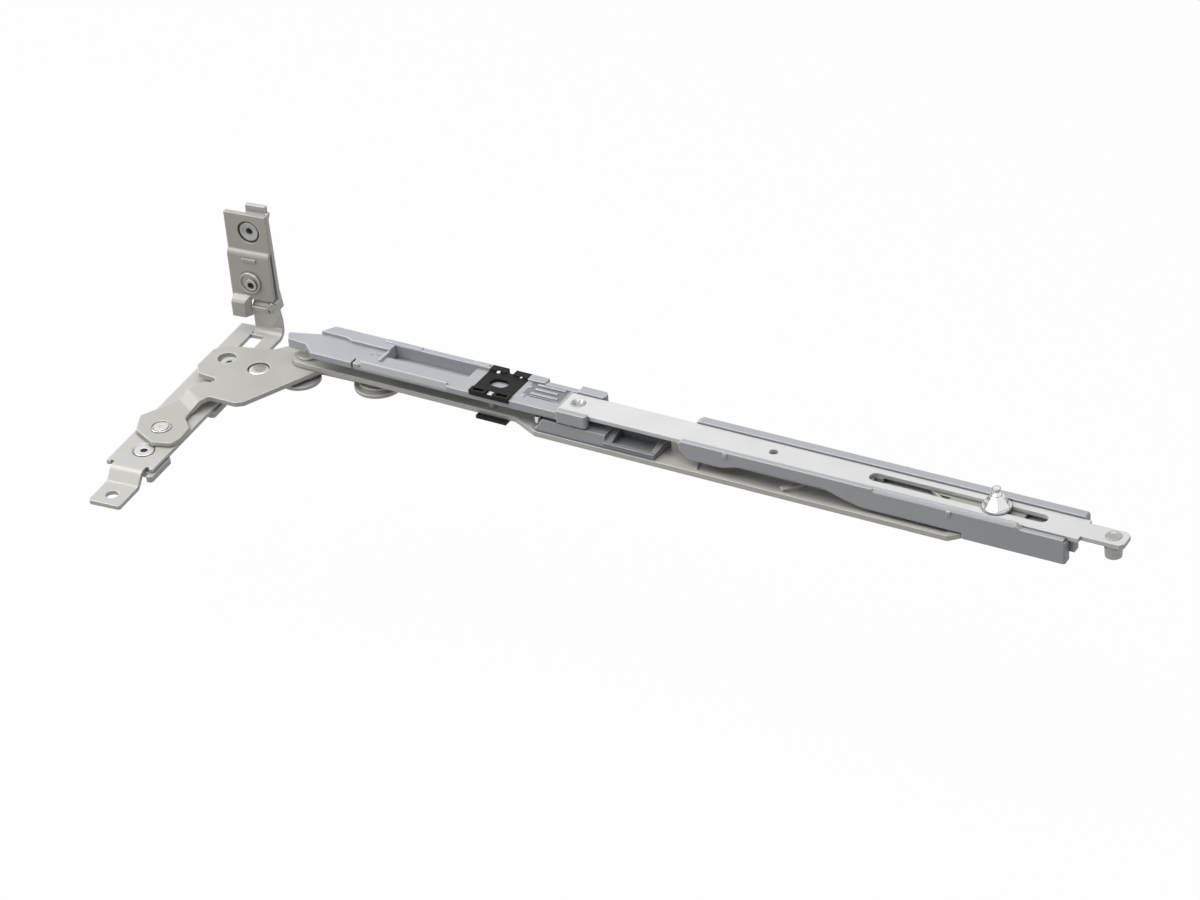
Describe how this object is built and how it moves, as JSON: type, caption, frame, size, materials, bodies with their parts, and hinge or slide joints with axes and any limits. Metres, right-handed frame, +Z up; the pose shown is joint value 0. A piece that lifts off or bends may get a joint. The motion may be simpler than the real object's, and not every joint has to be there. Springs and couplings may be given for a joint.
{
  "type": "window scissor stay",
  "caption": "Concealed stay for a tilt and turn window sash: folded frame strip, turning plate with links, long stay arm and cast sash rail with a sliding cam.",
  "frame": {"origin": "centre of the fixing hole at the top face of the frame strip's end tab", "axes": "+Y along the frame strip to its corner, +Z up along the folded leg, +X across the strip to the room side; the long sash rail runs close to +X at the pictured opening"},
  "size_m": [0.3976, 0.1311, 0.0633],
  "materials": {
    "strip_steel": "satin nickel-plated steel",
    "plate_steel": "satin plated steel",
    "arm_steel": "satin plated steel, slightly warm",
    "bright_steel": "bright plated",
    "cast_grey": "satin grey coated zinc casting",
    "face_steel": "light satin plated steel",
    "black_plastic": "matt black moulded"
  },
  "bodies": {
    "frame_side": {"frame_strip": "strip_steel", "front_plate": "plate_steel", "upper_screw": "bright_steel", "eccentric_screw": "bright_steel", "clamp_blocks": "cast_grey", "strip_screws": "bright_steel", "ear_rivet": "bright_steel"},
    "turning_plate": {"turning_plate": "plate_steel", "link_rivet": "bright_steel", "arm_rivet": "arm_steel"},
    "inner_link": {"inner_link": "plate_steel", "knee_rivet": "bright_steel"},
    "support_link": {"support_link": "plate_steel", "support_rivet": "bright_steel"},
    "stay_arm": {"stay_arm": "arm_steel", "guide_block": "cast_grey", "roller_pin": "bright_steel", "peg": "arm_steel", "arm_pad": "black_plastic", "slide_pin": "bright_steel"},
    "slider": {"slide_block": "cast_grey"},
    "sash_rail": {"left_carrier": "cast_grey", "plastic_clip": "black_plastic", "right_carrier": "cast_grey", "faceplate": "face_steel", "faceplate_rivet": "bright_steel", "end_pin": "bright_steel"},
    "drive_rod": {"drive_rod": "strip_steel", "cam": "bright_steel"}
  },
  "joints": [
    {"name": "plate_swing", "type": "hinge", "parent": "frame_side", "child": "turning_plate", "pos_m": [0, 0.039, 0.0058], "axis": [0, 0, 1], "range_deg": [-3.6, 30.9]},
    {"name": "arm_swing", "type": "hinge", "parent": "turning_plate", "child": "stay_arm", "pos_m": [0.035, 0.09755, 0.01125], "axis": [0, 0, 1], "range_deg": [-116.6, 13.8]},
    {"name": "inner_link_swing", "type": "hinge", "parent": "turning_plate", "child": "inner_link", "pos_m": [0.0184, 0.0855, 0.00715], "axis": [0, 0, 1], "range_deg": [-2.5, 19.4]},
    {"name": "support_swing", "type": "hinge", "parent": "inner_link", "child": "support_link", "pos_m": [0.0346, 0.0935, 0.00555], "axis": [0, 0, 1], "range_deg": [-136, 16.2]},
    {"name": "tilt_swing", "type": "hinge", "parent": "stay_arm", "child": "slider", "pos_m": [0.30413, 0.0759, 0.014], "axis": [0, 0, 1], "range_deg": [-20, 0]},
    {"name": "tilt_slide", "type": "slide", "parent": "slider", "child": "sash_rail", "axis": [0.9968, -0.0802, 0], "range_m": [0, 0.0165]},
    {"name": "rod_slide", "type": "slide", "parent": "sash_rail", "child": "drive_rod", "axis": [0.9968, -0.0802, 0], "range_m": [-0.0175, 0.0175]}
  ],
  "couplings": [
    {"joint": "arm_swing", "follows": "plate_swing", "ratio": -3.7638},
    {"joint": "inner_link_swing", "follows": "plate_swing", "ratio": 0.6181},
    {"joint": "support_swing", "follows": "plate_swing", "ratio": -4.3838},
    {"joint": "tilt_slide", "follows": "tilt_swing", "m_per_rad": -0.0467}
  ]
}
